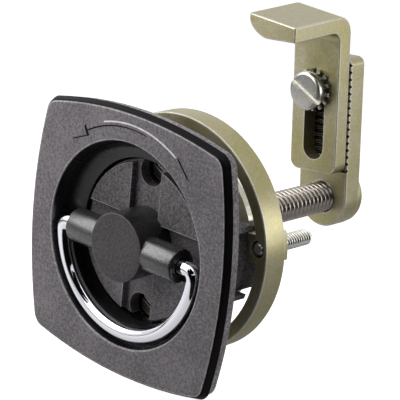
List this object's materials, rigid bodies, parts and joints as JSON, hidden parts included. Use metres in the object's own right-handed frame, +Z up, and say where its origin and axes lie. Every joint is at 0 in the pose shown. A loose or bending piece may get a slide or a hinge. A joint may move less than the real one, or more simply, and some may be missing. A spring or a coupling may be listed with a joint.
{
  "type": "flush pull latch",
  "caption": "Flush panel latch: square bezel with a round dish, folding pull ring on a turning handle, clamp ring with jack screws, long threaded spindle and adjustable hooked cam.",
  "frame": {"origin": "on the turning axis, in the plane of the panel's front face, where the gasket's back rests", "axes": "+X to the right seen from the front, +Y from the front into the panel along the turning axis, +Z up"},
  "size_m": [0.0762, 0.0956, 0.0955],
  "materials": {
    "grained_plastic": "fine grain, dark grey, with gloss inside the dish",
    "gasket_rubber": "matt",
    "seal_rubber": "smooth",
    "chrome": "polished",
    "spindle_steel": "bright threaded bar",
    "yellow_zinc": "yellow chromate over zinc plate",
    "bright_steel": "bright zinc plate"
  },
  "bodies": {
    "cup": {"bezel_cup": "grained_plastic", "gasket": "gasket_rubber", "bearing_plate": "yellow_zinc", "cup_screw_top": "bright_steel", "cup_screw_bottom": "bright_steel", "spindle_seal": "seal_rubber"},
    "turning": {"handle": "grained_plastic", "threaded_spindle": "spindle_steel", "stop_cam": "yellow_zinc", "retaining_clip": "bright_steel", "cam_arm": "yellow_zinc", "cam_screw": "bright_steel", "star_washer": "bright_steel"},
    "ring": {"pull_ring": "chrome"},
    "hook": {"hook_bar": "yellow_zinc"},
    "clamp": {"clamp_ring": "yellow_zinc", "jack_screw_right": "bright_steel", "jack_screw_left": "bright_steel"}
  },
  "joints": [
    {"name": "handle_turn", "type": "hinge", "parent": "cup", "child": "turning", "pos_m": [0, 0, 0], "axis": [0, 1, 0], "range_deg": [0, 90]},
    {"name": "pull_ring_fold", "type": "hinge", "parent": "turning", "child": "ring", "pos_m": [0, -0.0032, 0], "axis": [-1, 0, 0], "range_deg": [0, 180]},
    {"name": "hook_adjust", "type": "slide", "parent": "turning", "child": "hook", "axis": [-0.0896, 0, 0.996], "range_m": [-0.001, 0.0175]},
    {"name": "clamp_ring_slide", "type": "slide", "parent": "cup", "child": "clamp", "axis": [0, 1, 0], "range_m": [-0.0085, 0.0024]}
  ]
}
